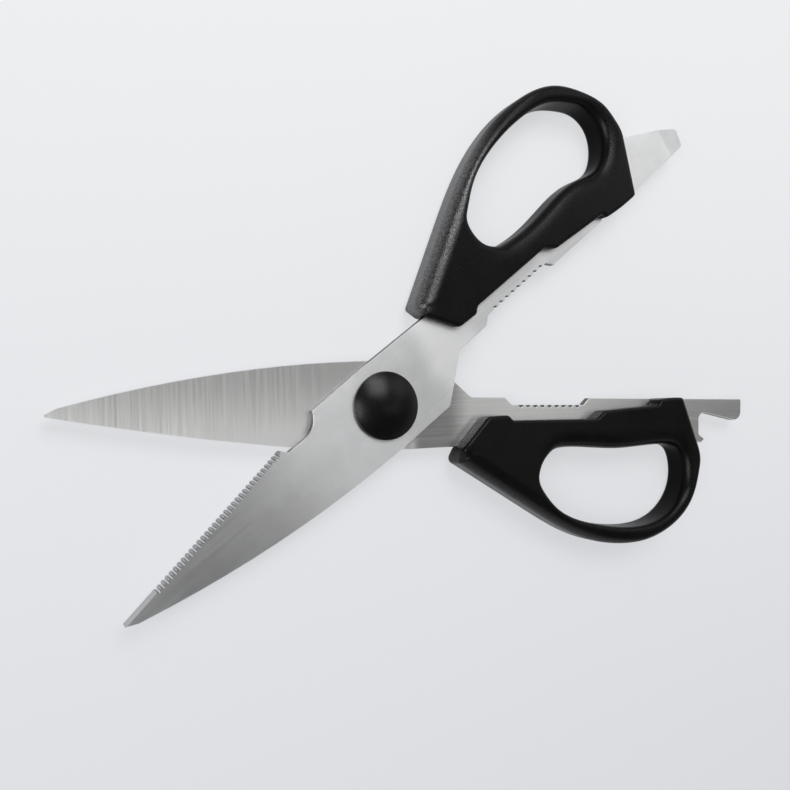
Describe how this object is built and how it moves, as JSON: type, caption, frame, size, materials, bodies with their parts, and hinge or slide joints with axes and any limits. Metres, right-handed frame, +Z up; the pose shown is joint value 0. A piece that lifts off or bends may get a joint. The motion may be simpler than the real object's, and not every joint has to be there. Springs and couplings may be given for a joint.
{
  "type": "kitchen shears",
  "caption": "Kitchen shears with one plain and one serrated blade, bone notch, toothed nutcracker jaws, bottle opener and screwdriver tip on black moulded handles.",
  "frame": {"origin": "centre of the back cap's flat face on the pivot axis, in the plane of the table that the shears lie on", "axes": "+Z up from the table along the pivot axis, +X from the pivot to the handles along the line on which the halves close, +Y towards the front half's handle"},
  "size_m": [0.2018, 0.1355, 0.0106],
  "materials": {
    "front_blade": "satin",
    "back_blade": "brushed across the blade",
    "front_handle": "fine-grained black",
    "back_handle": "fine-grained black",
    "front_cap": "satin black",
    "back_cap": "satin black",
    "pivot_bolt": "turned",
    "spring_washer": "plain",
    "plain_washer": "plain",
    "pivot_nut": "plain"
  },
  "bodies": {
    "back_half": {"back_blade": "back_blade", "back_handle": "back_handle", "pivot_bolt": "pivot_bolt", "spring_washer": "spring_washer", "plain_washer": "plain_washer", "pivot_nut": "pivot_nut", "front_cap": "front_cap", "back_cap": "back_cap"},
    "front_half": {"front_blade": "front_blade", "front_handle": "front_handle"}
  },
  "joints": [
    {"name": "pivot", "type": "hinge", "parent": "back_half", "child": "front_half", "pos_m": [0, 0, 0.005], "axis": [0, 0, 1], "range_deg": [-36, 80]}
  ]
}
